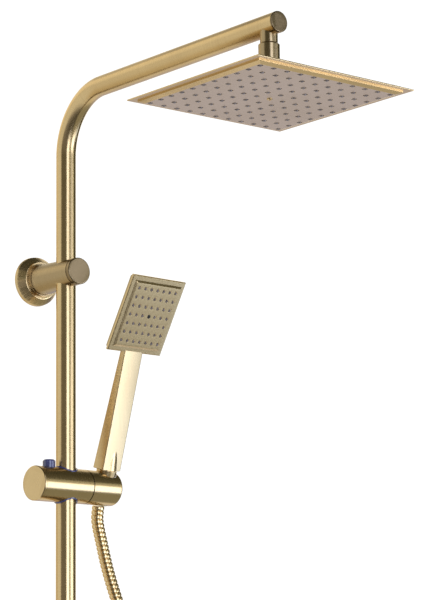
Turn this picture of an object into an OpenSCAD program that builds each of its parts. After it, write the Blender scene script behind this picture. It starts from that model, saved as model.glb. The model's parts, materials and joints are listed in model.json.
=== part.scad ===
// Rainfall shower column: a bent riser and arm with a square overhead head,
// two wall brackets, a diverter, and a sliding holder with a hand shower.
// +X is to the right along the wall, +Y goes into the wall, +Z is up.
// The origin is on the wall plane, at the middle of the lower bracket.

/* [Riser and arm] */
// Outside diameter of the riser and arm tube
tube_d = 22; // [20:0.5:24]
// Wall thickness of the tube
tube_wall = 1.5; // [1:0.1:2]
// Distance from the wall to the riser's axis
riser_offset = 60; // [58:1:66]
// Height of the arm's axis above the lower bracket's axis
arm_height = 1150; // [1100:5:1250]
// Distance from the riser's axis to the middle of the overhead head
arm_reach = 350; // [300:5:400]
// Radius of the bend, at the middle of the tube
bend_r = 67; // [50:1:80]
// Length of arm beyond the middle of the overhead head
arm_end = 16.5; // [14:0.5:25]

/* [Wall brackets] */
// Height of the upper bracket's axis above the lower bracket's axis
bracket_height = 949; // [900:1:1000]
// Diameter of each round wall flange
flange_d = 56; // [50:1:60]
// Diameter of the bracket post where it meets the flange
post_d = 35; // [33:1:36]
// Diameter of the bracket's round front cap
front_cap_d = 29.8; // [28:0.2:31]
// Distance from the wall to the face of the upper bracket's front cap
bracket_depth = 85.6; // [82:0.2:92]

/* [Diverter] */
// Diameter of the diverter's body
diverter_d = 36; // [35:1:38]
// Distance from the wall to the diverter body's front end
diverter_depth = 94; // [92:1:100]
// Diameter of the diverter's knob
knob_d = 34; // [30:1:38]
// Length of the diverter's knob
knob_length = 24; // [20:1:30]

/* [Overhead head] */
// Side of the square overhead head
head_side = 204; // [200:1:220]
// Nozzles along each side of the overhead head
head_count = 11; // [9:2:11]
// Distance between the overhead head's nozzles
head_pitch = 17; // [16:0.1:17]
// Height from the overhead head's spray face to the arm's axis
head_drop = 76.4; // [76:0.1:84]

/* [Sliding holder] */
// Height of the slider's axis above the lower bracket's axis
slider_height = 713; // [600:1:750]
// Diameter of the slider and the holder
slider_d = 38.4; // [38:0.2:40]
// Angle by which the slider is turned about the riser
slider_yaw = 6; // [-10:1:10]
// Distance from the riser's axis to the slider's left end
slider_left = 46; // [44:1:50]
// Distance from the riser's axis to the holder's right end
holder_right = 69; // [68:1:76]
// Distance from the riser's axis to the middle of the holder's bore
holder_x = 55; // [54:0.5:56]
// Diameter of the release button
button_d = 14; // [12:0.5:15]

/* [Hand shower] */
// Angle by which the hand shower leans away from the wall
handset_lean = 17.9; // [10:0.1:25]
// Angle by which the hand shower is turned in its holder
handset_turn = 5.9; // [-15:0.1:15]
// Side of the square hand shower head
handset_side = 88.4; // [84:0.4:92]
// Nozzles along each side of the hand shower head
handset_count = 7; // [5:2:7]
// Distance between the hand shower's nozzles
handset_pitch = 10.2; // [9:0.1:10.4]
// Distance from the holder's axis to the middle of the hand shower's face
handset_reach = 199; // [190:1:210]
// Distance of the face's middle in front of the handle's axis
face_forward = 13.5; // [12:0.5:15]
// Angle between the spray face and the handle
face_lean = 10.1; // [8:0.1:12]
// Width of the handle
handle_w = 30; // [26:1:32]
// Thickness of the handle at its lower end
handle_bottom_t = 16; // [14:1:18]
// Thickness of the handle where it meets the head
handle_top_t = 7.6; // [7:0.2:9]

/* [Hose] */
// Outside diameter of the hose
hose_d = 14; // [12:1:14]

/* [Hidden] */
$fn = 48;

// Colours
gold = [0.66, 0.53, 0.31];
dark_gold = [0.30, 0.22, 0.12];
plastic = [0.20, 0.19, 0.33];
rubber = [0.16, 0.15, 0.15];
nozzle_grey = [0.33, 0.31, 0.31];
white_plastic = [0.85, 0.85, 0.83];
steel = [0.62, 0.62, 0.60];

// Fits
running = 0.05;
skin = 0.3;

// Riser and arm
tube_r = tube_d / 2;
tube_bore_r = tube_r - tube_wall;
riser_bottom = 13;
arm_length = arm_reach + arm_end;
arm_cap_t = 2;
stub_r = 9;
stub_bore_r = 6;
collar_r = 10.85;
collar_top = arm_height - 19;
collar_bottom = arm_height - 41;
spigot_r = 8;

// Overhead head, with heights above its spray face
head_half = head_side / 2;
face_height = arm_height - head_drop;
plate_half = head_half - 7.7;
face_half = head_half - 12.9;
back_half = head_half - 8.8;
mat_half = face_half - 0.8;
step_z = 3.2;
lip_z = 4.6;
pan_z = 7.1;
back_z = 8.3;
nozzle_out = 1.5;

// Ball joint, with its centre above the spray face
ball_z = 25.4;
ball_r = 8;
neck_r = 4;
liner_r = 9.5;
boss_r = 9.9;
swivel_nut_r = 12.5;

// Brackets, with depths measured out from the wall
flange_r = flange_d / 2;
post_r = post_d / 2;
cap_r = front_cap_d / 2;
post_start = 14;
cap_t = 5;
post_end = bracket_depth - cap_t;
stud_r = 7;
wall_hole_r = 2.3;
wall_hole_x = 15;

// Diverter
diverter_r = diverter_d / 2;
inlet_r = 10.48;
inlet_depth = 14;
tail_shank_r = 10;
outlet_end = 31;
outlet_top = 12.5;
spindle_r = 5;

// Slider, in its own frame with X along its axis
slider_r = slider_d / 2;
slider_end = 25;
bush_r = 13;
bush_half = 20.4;
cavity_r = 15.4;
cavity_right = -15.5;
button_x = -24.5;
button_r = button_d / 2;
button_top = 27;
washer_t = 1.3;
holder_left = slider_end + washer_t;
shaft_r = 5;
shaft_end = 37;

// Hose cone and holder bore, along the handset's own axis
cone_top = 21.6;
cone_bottom = -18.5;
cone_top_r = 11.5;
cone_slope = 0.08;
liner_t = 1;
handle_start = 22;
tail_r = 9.5;
tail_end = 14;

// Handset head, with depths behind its spray face
hand_half = handset_side / 2;
hand_face_half = hand_half - 7.8;
hand_plate_half = hand_half - 5.6;
hand_back_half = hand_half - 2.6;
hand_step_z = 2;
hand_frame_z = 5;
hand_back_z = 11;

// Hose route, from the cone nut round to the diverter's outlet
hose_r = hose_d / 2;
hose_points = [
    [53, -48, 694], [54, -45, 677], [60, -45, 652], [67, -47, 622],
    [76, -52, 588], [90, -60, 540], [108, -68, 480], [127, -76, 412],
    [146, -83, 338], [163, -89, 260], [176, -93, 180], [185, -96, 96],
    [189, -97, 10], [190, -97, -76], [189, -95, -160], [184, -92, -236],
    [168, -87, -298], [136, -81, -342], [93, -75, -358], [50, -70, -343],
    [19, -65, -303], [4, -62, -250], [0, -60, -195], [0, -60, -145],
    [0, -60, -95], [0, -60, -58]
];
hose_steps = 3;
hose_sides = 10;

// ---------------------------------------------------------------- frames

// Frame of a bracket: Z runs out of the wall from the given height
module out_of_wall(height) {
    translate([0, 0, height]) rotate([90, 0, 0]) children();
}

// Frame of the overhead head: origin in the middle of its spray face
module head_frame_of_reference() {
    translate([0, -riser_offset - arm_reach, face_height]) children();
}

// Frame of the slider: X along its axis, origin on the riser's axis
module slider_frame() {
    translate([0, -riser_offset, slider_height])
        rotate([0, 0, slider_yaw]) children();
}

// A cylinder along X from x0 to x1
module bar_x(r, x0, x1) {
    translate([x0, 0, 0]) rotate([0, 90, 0]) cylinder(r = r, h = x1 - x0);
}

// Frame of the holder's bore: Z along the hand shower's handle
module bore_frame() {
    slider_frame() translate([holder_x, 0, 0])
        rotate([handset_lean, 0, 0]) children();
}

// Frame of the hand shower, turned in the bore
module handset_frame_of_reference() {
    bore_frame() rotate([0, 0, handset_turn]) children();
}

// Frame of the hand shower's spray face: Z goes into the head
module hand_face_frame() {
    handset_frame_of_reference()
        translate([0, -face_forward, handset_reach])
        rotate([face_lean - 90, 0, 0]) children();
}

// ---------------------------------------------------------------- shapes

// A ring or tube between two heights
module tube(r_out, r_in, z0, z1) {
    difference() {
        translate([0, 0, z0]) cylinder(r = r_out, h = z1 - z0);
        translate([0, 0, z0 - 1]) cylinder(r = r_in, h = z1 - z0 + 2);
    }
}

// A turned solid from [radius, height] points
module turned(points) {
    rotate_extrude() polygon(points);
}

// A square stepped solid from [half side, height] points, rising
module square_stack(outline) {
    count = len(outline);
    widest = 2 * max([for (p = outline) p[0]]) + 2;
    mirrored = [for (i = [count - 1 : -1 : 0]) [-outline[i][0], outline[i][1]]];
    shape = concat(outline, mirrored);
    intersection() {
        rotate([90, 0, 0])
            linear_extrude(widest, center = true) polygon(shape);
        rotate([90, 0, 90])
            linear_extrude(widest, center = true) polygon(shape);
    }
}

// A square block of half side w between two heights
module square_block(w, z0, z1) {
    translate([-w, -w, z0]) cube([2 * w, 2 * w, z1 - z0]);
}

// Its children at each nozzle's place, leaving the middle for the screw
module at_nozzles(count, pitch) {
    last = (count - 1) / 2;
    for (i = [-last : last])
        for (j = [-last : last])
            if (i != 0 || j != 0)
                translate([i * pitch, j * pitch, 0]) children();
}

// A rubber mat with tapering nozzles that stand out of the spray face
module nozzle_mat(w, z0, z1, count, pitch, base_r, tip_r) {
    square_block(w, z0, z1);
    at_nozzles(count, pitch)
        translate([0, 0, -nozzle_out])
            cylinder(r1 = tip_r, r2 = base_r, h = z0 + nozzle_out, $fn = 16);
}

// A small pan-head screw through the middle of a spray face
module centre_screw(head_r, shank_r, depth) {
    difference() {
        turned([[0, -1.2], [head_r - 0.6, -1.2], [head_r, -0.6], [head_r, 0],
                [shank_r, 0], [shank_r, depth], [0, depth]]);
        translate([0, 0, -1.7]) cylinder(r = 1.2, h = 1.1, $fn = 6);
    }
}

// A hexagon-socket grub screw along +Z
module grub_screw(r, length) {
    difference() {
        cylinder(r = r, h = length);
        translate([0, 0, -0.1]) cylinder(r = r * 0.5, h = length / 3, $fn = 6);
    }
}

// A wall flange: a stepped hollow cone that hides the wall fixing
module wall_flange(bore_r) {
    difference() {
        turned([[0, 0], [flange_r - 0.5, 0], [flange_r, 0.5],
                [flange_r - 0.5, 5], [21.5, 13], [20.8, 13.2],
                [20.8, post_start], [0, post_start]]);
        translate([0, 0, -1]) cylinder(r = 23, h = 5);
        translate([0, 0, 3.9])
            cylinder(r1 = 23, r2 = 19, h = 8.6);
        translate([0, 0, 5]) cylinder(r = bore_r, h = 20);
    }
}

// ---------------------------------------------------------------- riser and arm

// The bent path of the tube as a solid rod of radius r
module bent_rod(r, bottom, arm) {
    translate([0, 0, bottom]) cylinder(r = r, h = arm_height - bend_r - bottom);
    translate([0, -bend_r, arm_height - bend_r])
        rotate([0, -90, 0])
        rotate_extrude(angle = 90) translate([bend_r, 0]) circle(r = r);
    translate([0, -bend_r, arm_height])
        rotate([90, 0, 0]) cylinder(r = r, h = arm - bend_r);
}

module riser_arm_tube() {
    color(gold) translate([0, -riser_offset, 0]) difference() {
        bent_rod(tube_r, riser_bottom, arm_length - arm_cap_t);
        bent_rod(tube_bore_r, riser_bottom - 1, arm_length);
        translate([0, -arm_reach, arm_height - tube_r - 2])
            cylinder(r = stub_r, h = tube_r + 2);
    }
}

module arm_end_cap() {
    color(dark_gold)
        translate([0, -riser_offset - arm_length, arm_height])
        rotate([-90, 0, 0])
        turned([[0, 0], [tube_r - 0.7, 0], [tube_r, 0.7], [tube_r, arm_cap_t],
                [tube_bore_r, arm_cap_t], [tube_bore_r, 8], [0, 8]]);
}

module outlet_stub() {
    color(gold) translate([0, -riser_offset - arm_reach, 0]) difference() {
        union() {
            translate([0, 0, collar_top])
                cylinder(r = stub_r, h = arm_height - collar_top);
            translate([0, 0, collar_top - 10])
                cylinder(r = spigot_r, h = 11);
        }
        translate([0, 0, collar_top - 11])
            cylinder(r = stub_bore_r, h = 40);
        translate([0, 30, arm_height])
            rotate([90, 0, 0]) cylinder(r = tube_bore_r, h = 60);
    }
}

// Fixed half of the ball joint: collar, neck and ball in one piece
module ball_joint_collar() {
    centre = face_height + ball_z;
    color(gold) translate([0, -riser_offset - arm_reach, 0]) difference() {
        union() {
            turned([[0, collar_bottom], [collar_r - 0.8, collar_bottom],
                    [collar_r, collar_bottom + 0.8],
                    [collar_r, collar_top - 1.6], [stub_r, collar_top],
                    [0, collar_top]]);
            translate([0, 0, centre]) sphere(r = ball_r);
            translate([0, 0, centre])
                cylinder(r = neck_r, h = collar_bottom - centre + 1);
        }
        translate([0, 0, collar_top - 10]) cylinder(r = spigot_r, h = 11);
        translate([0, 0, centre - ball_r - 1])
            cylinder(r = 2.6, h = 60);
    }
}

// Slippery shell between the ball and the nut
module ball_liner() {
    color(white_plastic) head_frame_of_reference() difference() {
        translate([0, 0, ball_z]) sphere(r = liner_r);
        translate([0, 0, ball_z]) sphere(r = ball_r + running);
        translate([0, 0, ball_z + 4.7]) cylinder(r = 12, h = 10);
        translate([0, 0, ball_z - 16.5]) cylinder(r = 12, h = 10);
    }
}

// Nut that holds the liner round the ball
module head_swivel_nut() {
    bottom = back_z + 0.6;
    top = ball_z + 6;
    color(gold) head_frame_of_reference() difference() {
        turned([[0, bottom], [swivel_nut_r - 0.6, bottom],
                [swivel_nut_r, bottom + 0.6], [swivel_nut_r, top - 2],
                [swivel_nut_r - 2, top], [0, top]]);
        translate([0, 0, ball_z]) sphere(r = liner_r + running);
        translate([0, 0, bottom - 1])
            cylinder(r = boss_r + running, h = ball_z - 6 - bottom + 1);
        translate([0, 0, 11.9]) cylinder(r = 11, h = 1.2);
        translate([0, 0, top - 0.5]) cylinder(r = 7.5, h = 3);
    }
}

// ---------------------------------------------------------------- overhead head

module head_inlet_boss() {
    color(gold) head_frame_of_reference() difference() {
        turned([[0, 5.6], [14, 5.6], [14, pan_z], [boss_r, pan_z],
                [boss_r, 12], [9.2, 12], [9.2, 13], [boss_r, 13],
                [boss_r, 15.4], [0, 15.4]]);
        translate([0, 0, 4]) cylinder(r = 4, h = 12);
        translate([0, 0, 11]) cylinder(r = 7, h = 6);
    }
}

module head_retaining_ring() {
    color(steel) head_frame_of_reference() tube(10.8, 9.2, 12, 13);
}

module head_filter_washer() {
    color(rubber) head_frame_of_reference() tube(7, 3, 11, 13);
}

module head_back_plate() {
    color(gold) head_frame_of_reference() difference() {
        square_stack([[back_half, lip_z], [back_half, back_z - 0.5],
                      [back_half - 0.5, back_z]]);
        square_block(back_half - 2.7, lip_z - 1, pan_z);
        translate([0, 0, pan_z - 1]) cylinder(r = boss_r, h = 4);
    }
}

module head_frame() {
    color(gold) head_frame_of_reference() difference() {
        square_stack([[head_half - 0.3, step_z], [head_half, step_z + 0.3],
                      [head_half, lip_z - 0.3], [head_half - 0.3, lip_z]]);
        square_block(face_half - 2, step_z - 1, lip_z + 1);
    }
}

module head_face_plate() {
    color(gold) head_frame_of_reference() difference() {
        square_stack([[face_half, 0], [plate_half, 1.8],
                      [plate_half, step_z]]);
        square_block(mat_half, 1.2, step_z + 1);
        at_nozzles(head_count, head_pitch)
            translate([0, 0, -1]) cylinder(r = 2, h = 4, $fn = 16);
        translate([0, 0, -1]) cylinder(r = 1.5, h = 4, $fn = 16);
    }
}

module head_nozzle_mat() {
    color(nozzle_grey) head_frame_of_reference() difference() {
        nozzle_mat(mat_half - 0.1, 1.2, 2.4, head_count, head_pitch, 1.9, 1.3);
        translate([0, 0, -1]) cylinder(r = 1.6, h = 5, $fn = 16);
    }
}

module head_centre_screw() {
    color(gold) head_frame_of_reference() centre_screw(2.8, 1.5, 4.6);
}

// ---------------------------------------------------------------- upper bracket

module upper_wall_flange() {
    color(gold) out_of_wall(bracket_height) wall_flange(stud_r + 2);
}

module upper_wall_plate() {
    color(steel) out_of_wall(bracket_height) difference() {
        union() {
            cylinder(r = 22, h = 4);
            cylinder(r = stud_r, h = 26);
        }
        for (side = [-1, 1])
            translate([side * wall_hole_x, 0, -1])
                cylinder(r = wall_hole_r, h = 6);
    }
}

module upper_bracket_post() {
    color(gold) difference() {
        out_of_wall(bracket_height) difference() {
            turned([[0, post_start], [18.7, post_start], [18.7, 17],
                    [post_r, 17], [cap_r, post_end - 1],
                    [cap_r - 0.7, post_end - 0.9], [cap_r - 0.7, post_end],
                    [0, post_end]]);
            translate([0, 0, post_start - 1])
                cylinder(r = stud_r, h = 27 - post_start);
            translate([0, 0, riser_offset]) cylinder(r = 9, h = 40);
        }
        translate([0, -riser_offset, bracket_height - 30])
            cylinder(r = tube_r, h = 60);
        translate([0, -20, bracket_height - 20])
            cylinder(r = 2, h = 20);
    }
}

module upper_bracket_cap() {
    color(gold) out_of_wall(bracket_height) {
        turned([[0, post_end], [cap_r, post_end],
                [cap_r, bracket_depth - 0.8], [cap_r - 0.8, bracket_depth],
                [0, bracket_depth]]);
        translate([0, 0, post_end - 3]) cylinder(r = 9, h = 3);
    }
}

module riser_clamp_pad() {
    color(white_plastic) difference() {
        out_of_wall(bracket_height)
            translate([0, 0, riser_offset + 4])
            cylinder(r = 8.8, h = post_end - 3 - riser_offset - 4);
        translate([0, -riser_offset, bracket_height - 30])
            cylinder(r = tube_r, h = 60);
    }
}

module upper_grub_screw() {
    color(steel) translate([0, -20, bracket_height - 16.5])
        grub_screw(2, 16.5 - stud_r);
}

// ---------------------------------------------------------------- diverter

module lower_wall_flange() {
    color(gold) out_of_wall(0) wall_flange(tail_shank_r + 0.1);
}

// Threaded tail that screws into the supply behind the wall
module inlet_tail() {
    color(steel) out_of_wall(0) difference() {
        union() {
            translate([0, 0, -inlet_depth])
                cylinder(r = inlet_r, h = inlet_depth + 2);
            cylinder(r = tail_shank_r, h = 26);
        }
        translate([0, 0, -inlet_depth - 1]) cylinder(r = 7, h = 60);
    }
}

module inlet_seal() {
    color(rubber) out_of_wall(0) tube(tail_shank_r, 7, 26, 28);
}

module diverter_body() {
    color(gold) difference() {
        union() {
            out_of_wall(0)
                turned([[0, post_start], [diverter_r, post_start],
                        [diverter_r, diverter_depth - 1],
                        [diverter_r - 1, diverter_depth],
                        [0, diverter_depth]]);
            translate([0, -riser_offset, 0]) cylinder(r = 14.5, h = 26);
            translate([0, -riser_offset, -20]) cylinder(r = 12, h = 20);
        }
        out_of_wall(0) {
            translate([0, 0, post_start - 1])
                cylinder(r = tail_shank_r, h = 28 - post_start + 1);
            cylinder(r = 7, h = 45);
            translate([0, 0, 43]) cylinder(r = 12, h = 60);
        }
        translate([0, -riser_offset, riser_bottom])
            cylinder(r = tube_r, h = 20);
        translate([0, -riser_offset, 22]) cylinder(r = 13, h = 6);
        translate([0, -riser_offset, 0]) cylinder(r = 8, h = 20);
        translate([0, -riser_offset, -22])
            cylinder(r = 9, h = 22 - outlet_top);
        translate([0, -riser_offset, -22]) cylinder(r = 6, h = 22);
    }
}

// Nut that clamps the riser into the diverter
module riser_nut() {
    color(gold) translate([0, -riser_offset, 0]) difference() {
        turned([[0, 26], [16, 26], [16, 37], [15, 38], [0, 38]]);
        translate([0, 0, 20]) cylinder(r = tube_r, h = 30);
    }
}

module riser_seal() {
    color(rubber) translate([0, -riser_offset, 0]) tube(13, tube_r, 22, 26);
}

module diverter_cartridge() {
    color(white_plastic) difference() {
        out_of_wall(0) tube(12, 7 + running, 45, 80);
        translate([0, -riser_offset, -20]) cylinder(r = 5, h = 40);
    }
}

module diverter_gland_nut() {
    color(gold) out_of_wall(0) tube(12, spindle_r + running, 82, diverter_depth);
}

module hose_outlet() {
    color(gold) translate([0, -riser_offset, 0]) difference() {
        union() {
            translate([0, 0, -20]) cylinder(r = 9, h = 20 - outlet_top);
            translate([0, 0, -outlet_end])
                cylinder(r = 10.4, h = outlet_end - 20);
        }
        translate([0, 0, -outlet_end - 1]) cylinder(r = 6, h = 30);
    }
}

// Spindle with its port, turned by the knob
module diverter_spindle() {
    color(gold) difference() {
        out_of_wall(0) union() {
            translate([0, 0, 46]) cylinder(r = 7, h = 35);
            translate([0, 0, 46])
                cylinder(r = spindle_r, h = diverter_depth + 14 - 46);
        }
        translate([0, -riser_offset, 0]) cylinder(r = 4, h = 20);
        out_of_wall(0) translate([0, 0, 40]) cylinder(r = 4, h = 26);
    }
}

module diverter_knob() {
    start = diverter_depth + 0.6;
    end = start + knob_length;
    knob_r = knob_d / 2;
    color(gold) difference() {
        out_of_wall(0) difference() {
            turned([[0, start], [knob_r - 0.8, start], [knob_r, start + 0.8],
                    [knob_r, end - 1.2], [knob_r - 1.2, end], [0, end]]);
            translate([0, 0, start - 1])
                cylinder(r = spindle_r, h = diverter_depth + 15 - start);
        }
        translate([0, -start - 7, -knob_r - 1]) cylinder(r = 1.5, h = knob_r);
        translate([0, -start - 16, 10]) cylinder(r = 3, h = 20);
    }
}

module knob_lever() {
    color(gold) translate([0, -diverter_depth - 16.6, 10])
        turned([[0, 0], [3, 0], [3, 21], [2.2, 22], [0, 22]]);
}

module knob_grub_screw() {
    color(steel) translate([0, -diverter_depth - 7.6, -knob_d / 2 + 1])
        grub_screw(1.5, knob_d / 2 - 1 - spindle_r);
}

// ---------------------------------------------------------------- slider

// Bush that grips the riser and lets the slider turn on it
module slider_bush() {
    color(plastic) translate([0, -riser_offset, slider_height])
        tube(bush_r, tube_r + running, -bush_half, bush_half);
}

module slider_body() {
    left = -slider_left + 3;
    color(gold) slider_frame() difference() {
        bar_x(slider_r, left, slider_end);
        bar_x(cavity_r, left - 1, cavity_right);
        bar_x(shaft_r, 14, slider_end + 1);
        translate([0, 0, -30]) cylinder(r = bush_r + running, h = 60);
        translate([button_x, 0, 0])
            cylinder(r = button_r + 0.1, h = 30);
    }
}

module slider_end_cap() {
    end = -slider_left;
    color(dark_gold) slider_frame() rotate([0, 90, 0])
        turned([[0, end], [slider_r - 0.8, end], [slider_r, end + 0.8],
                [slider_r, end + 3], [cavity_r, end + 3],
                [cavity_r, end + 6], [0, end + 6]]);
}

// Coil spring under the button, as a stack of rings
module button_spring() {
    color(steel) slider_frame()
        for (turn = [0 : 5])
            translate([button_x, 0, -13 + 2.4 * turn])
                rotate_extrude() translate([5, 0]) circle(r = 0.6, $fn = 16);
}

module release_button() {
    color(plastic) slider_frame() translate([button_x, 0, 0])
        turned([[0, -4], [3.8, -4], [3.8, 0], [8, 0], [8, 11],
                [button_r, 11], [button_r, button_top - 1.5],
                [button_r - 1.5, button_top], [0, button_top]]);
}

// Shaft on which the holder tilts
module swivel_shaft() {
    color(steel) slider_frame() rotate([0, 90, 0])
        turned([[0, 15], [shaft_r, 15], [shaft_r, 31], [shaft_r - 1, 31],
                [shaft_r - 1, 34], [shaft_r, 34], [shaft_r, shaft_end],
                [0, shaft_end]]);
}

module swivel_washer() {
    color(rubber) slider_frame() rotate([0, 90, 0])
        tube(slider_r - 1.2, shaft_r, slider_end, holder_left - running);
}

// ---------------------------------------------------------------- holder

// Radius of the hose cone at height s along the hand shower's axis
function cone_r(s) = cone_top_r - (cone_top - s) * cone_slope;

// A cone that follows the hose cone, grown by extra
module cone_bar(s0, s1, extra) {
    translate([0, 0, s0])
        cylinder(r1 = cone_r(s0) + extra, r2 = cone_r(s1) + extra, h = s1 - s0);
}

module handset_holder() {
    round_r = 3.4;
    color(gold) difference() {
        slider_frame() difference() {
            rotate([0, 90, 0]) rotate_extrude() polygon(concat(
                [[0, holder_left], [slider_r, holder_left]],
                [for (a = [0 : 15 : 90])
                    [slider_r - round_r + round_r * cos(a),
                     holder_right - round_r + round_r * sin(a)]],
                [[0, holder_right]]));
            bar_x(shaft_r + running, holder_left - 1, shaft_end + 1);
            translate([32.5, 0, -30]) cylinder(r = 1.4, h = 30);
        }
        bore_frame() cone_bar(-30, 30, liner_t + running);
    }
}

// Plastic sleeve in the holder's bore
module holder_liner() {
    color(plastic) intersection() {
        bore_frame() difference() {
            cone_bar(-30, 30, liner_t + running);
            cone_bar(-31, 31, running);
        }
        slider_frame() bar_x(slider_r - 0.8, holder_left + 8, holder_right - 1);
    }
}

module swivel_grub_screw() {
    color(steel) slider_frame() translate([32.5, 0, -18.5])
        grub_screw(1.4, 18.5 - shaft_r + 0.6);
}

// ---------------------------------------------------------------- hose end

module hose_cone_nut() {
    color(gold) bore_frame() difference() {
        cone_bar(cone_bottom, cone_top, 0);
        translate([0, 0, cone_bottom - 1]) cylinder(r = 7.5, h = 50);
        translate([0, 0, tail_end - 2]) cylinder(r = tail_r + running, h = 20);
    }
}

module hose_ferrule_upper() {
    color(steel) bore_frame() tube(7.5, 5.4, cone_bottom, tail_end - 4);
}

module hose_washer_upper() {
    color(rubber) bore_frame()
        tube(tail_r, 5, tail_end - 2, tail_end - running);
}

// ---------------------------------------------------------------- hand shower

// Tapering bar of the handle, thinned all round by wall
module handle_bar(start, end, wall) {
    full = handset_reach - hand_half + 10;
    slope = (handle_bottom_t - handle_top_t) / 2 / (full - handle_start);
    low = handle_bottom_t / 2 - (start - handle_start) * slope - wall;
    high = handle_bottom_t / 2 - (end - handle_start) * slope - wall;
    rotate([90, 0, 90]) linear_extrude(handle_w - 2 * wall, center = true)
        polygon([[-low, start], [low, start], [high, end], [-high, end]]);
}

// The whole handle, also cut out of the head that it enters
module handle_blank() {
    handle_bar(handle_start, handset_reach - hand_half + 10, 0);
}

module handset_handle() {
    color(gold) handset_frame_of_reference() difference() {
        union() {
            handle_blank();
            translate([0, 0, tail_end])
                cylinder(r = tail_r, h = handle_start - tail_end + 1);
            translate([0, 0, handle_start])
                cylinder(r1 = 10.6, r2 = 6.8, h = 26);
        }
        translate([0, 0, tail_end - 1]) cylinder(r = 6, h = 14);
        translate([0, 0, tail_end]) cylinder(r = 2.4, h = 160);
        handle_bar(handle_start + 28, handset_reach - hand_half - 6, 1.6);
    }
}

module handset_back_shell() {
    color(gold) difference() {
        hand_face_frame() difference() {
            square_stack([[hand_back_half, hand_frame_z],
                          [hand_back_half, hand_back_z - 2.5],
                          [hand_back_half - 2.5, hand_back_z]]);
            square_block(hand_back_half - 13, hand_frame_z - 1,
                         hand_back_z - 1.6);
        }
        handset_frame_of_reference() handle_blank();
    }
}

module handset_frame() {
    color(gold) difference() {
        hand_face_frame() difference() {
            square_stack([[hand_half - 1, hand_step_z],
                          [hand_half, hand_step_z + 0.7],
                          [hand_half, hand_frame_z]]);
            square_block(hand_face_half - 3, hand_step_z - 1,
                         hand_frame_z + 1);
        }
        handset_frame_of_reference() handle_blank();
    }
}

module handset_face_plate() {
    color(gold) hand_face_frame() difference() {
        square_stack([[hand_face_half, 0], [hand_plate_half, hand_step_z]]);
        square_block(hand_face_half - 3, 1, hand_step_z + 1);
        at_nozzles(handset_count, handset_pitch)
            translate([0, 0, -1]) cylinder(r = 1.6, h = 4, $fn = 16);
        translate([0, 0, -1]) cylinder(r = 1.2, h = 4, $fn = 16);
    }
}

module handset_nozzle_mat() {
    color(nozzle_grey) hand_face_frame() difference() {
        nozzle_mat(hand_face_half - 3.1, 1, 2.2, handset_count,
                   handset_pitch, 1.5, 1.0);
        translate([0, 0, -2]) cylinder(r = 1.3, h = 6, $fn = 16);
    }
}

module handset_centre_screw() {
    color(rubber) hand_face_frame() centre_screw(2.2, 1.2, 4);
}

module flow_restrictor() {
    color(white_plastic) handset_frame_of_reference()
        tube(6, 2.5, tail_end + 3, tail_end + 8);
}

// ---------------------------------------------------------------- hose

// A point between p1 and p2 on a smooth curve that also heeds p0 and p3
function curve_point(p0, p1, p2, p3, t) = 0.5 * (
    2 * p1 + (p2 - p0) * t
    + (2 * p0 - 5 * p1 + 4 * p2 - p3) * t * t
    + (3 * p1 - p0 - 3 * p2 + p3) * t * t * t);

// The whole route with several steps between each pair of points
function route(p, steps) = let (last = len(p) - 1) concat(
    [for (i = [0 : last - 1])
        let (p0 = i == 0 ? 2 * p[0] - p[1] : p[i - 1],
             p3 = i == last - 1 ? 2 * p[last] - p[last - 1] : p[i + 2])
        for (k = [0 : steps - 1])
            curve_point(p0, p[i], p[i + 1], p3, k / steps)],
    [p[last]]);

function unit(v) = v / norm(v);

// A ring of corners round point c, square to direction d
function ring(c, d, r, sides) =
    let (side = unit(cross([0, 1, 0], d)), up = cross(d, side))
    [for (k = [0 : sides - 1])
        c + r * (cos(360 * k / sides) * side + sin(360 * k / sides) * up)];

// A tube of one polyhedron swept along the points
module swept_tube(p, r, sides) {
    last = len(p) - 1;
    corners = [for (i = [0 : last])
        let (d = unit(p[min(i + 1, last)] - p[max(i - 1, 0)]))
        for (c = ring(p[i], d, r, sides)) c];
    walls = [for (i = [0 : last - 1]) for (k = [0 : sides - 1])
        let (a = i * sides + k, b = i * sides + (k + 1) % sides)
        [a, b, b + sides, a + sides]];
    start = [for (k = [sides - 1 : -1 : 0]) k];
    end = [for (k = [0 : sides - 1]) last * sides + k];
    polyhedron(points = corners, faces = concat(walls, [start, end]));
}

module shower_hose() {
    color(gold) swept_tube(route(hose_points, hose_steps), hose_r, hose_sides);
}

// Nut that joins the hose to the diverter's outlet
module hose_union_nut() {
    color(gold) translate([0, -riser_offset, 0]) difference() {
        turned([[0, -42], [9.5, -42], [12.5, -38], [12.5, -24.6],
                [11.9, -24], [0, -24]]);
        translate([0, 0, -33]) cylinder(r = 10.4, h = 12);
        translate([0, 0, -43]) cylinder(r = 8, h = 12);
    }
}

module hose_washer_lower() {
    color(rubber) translate([0, -riser_offset, 0])
        tube(10.4, 5, -33, -outlet_end);
}

module hose_ferrule_lower() {
    color(gold) translate([0, -riser_offset, 0])
        tube(8, 5.4, -58, -33);
}

// ---------------------------------------------------------------- the part

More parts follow.
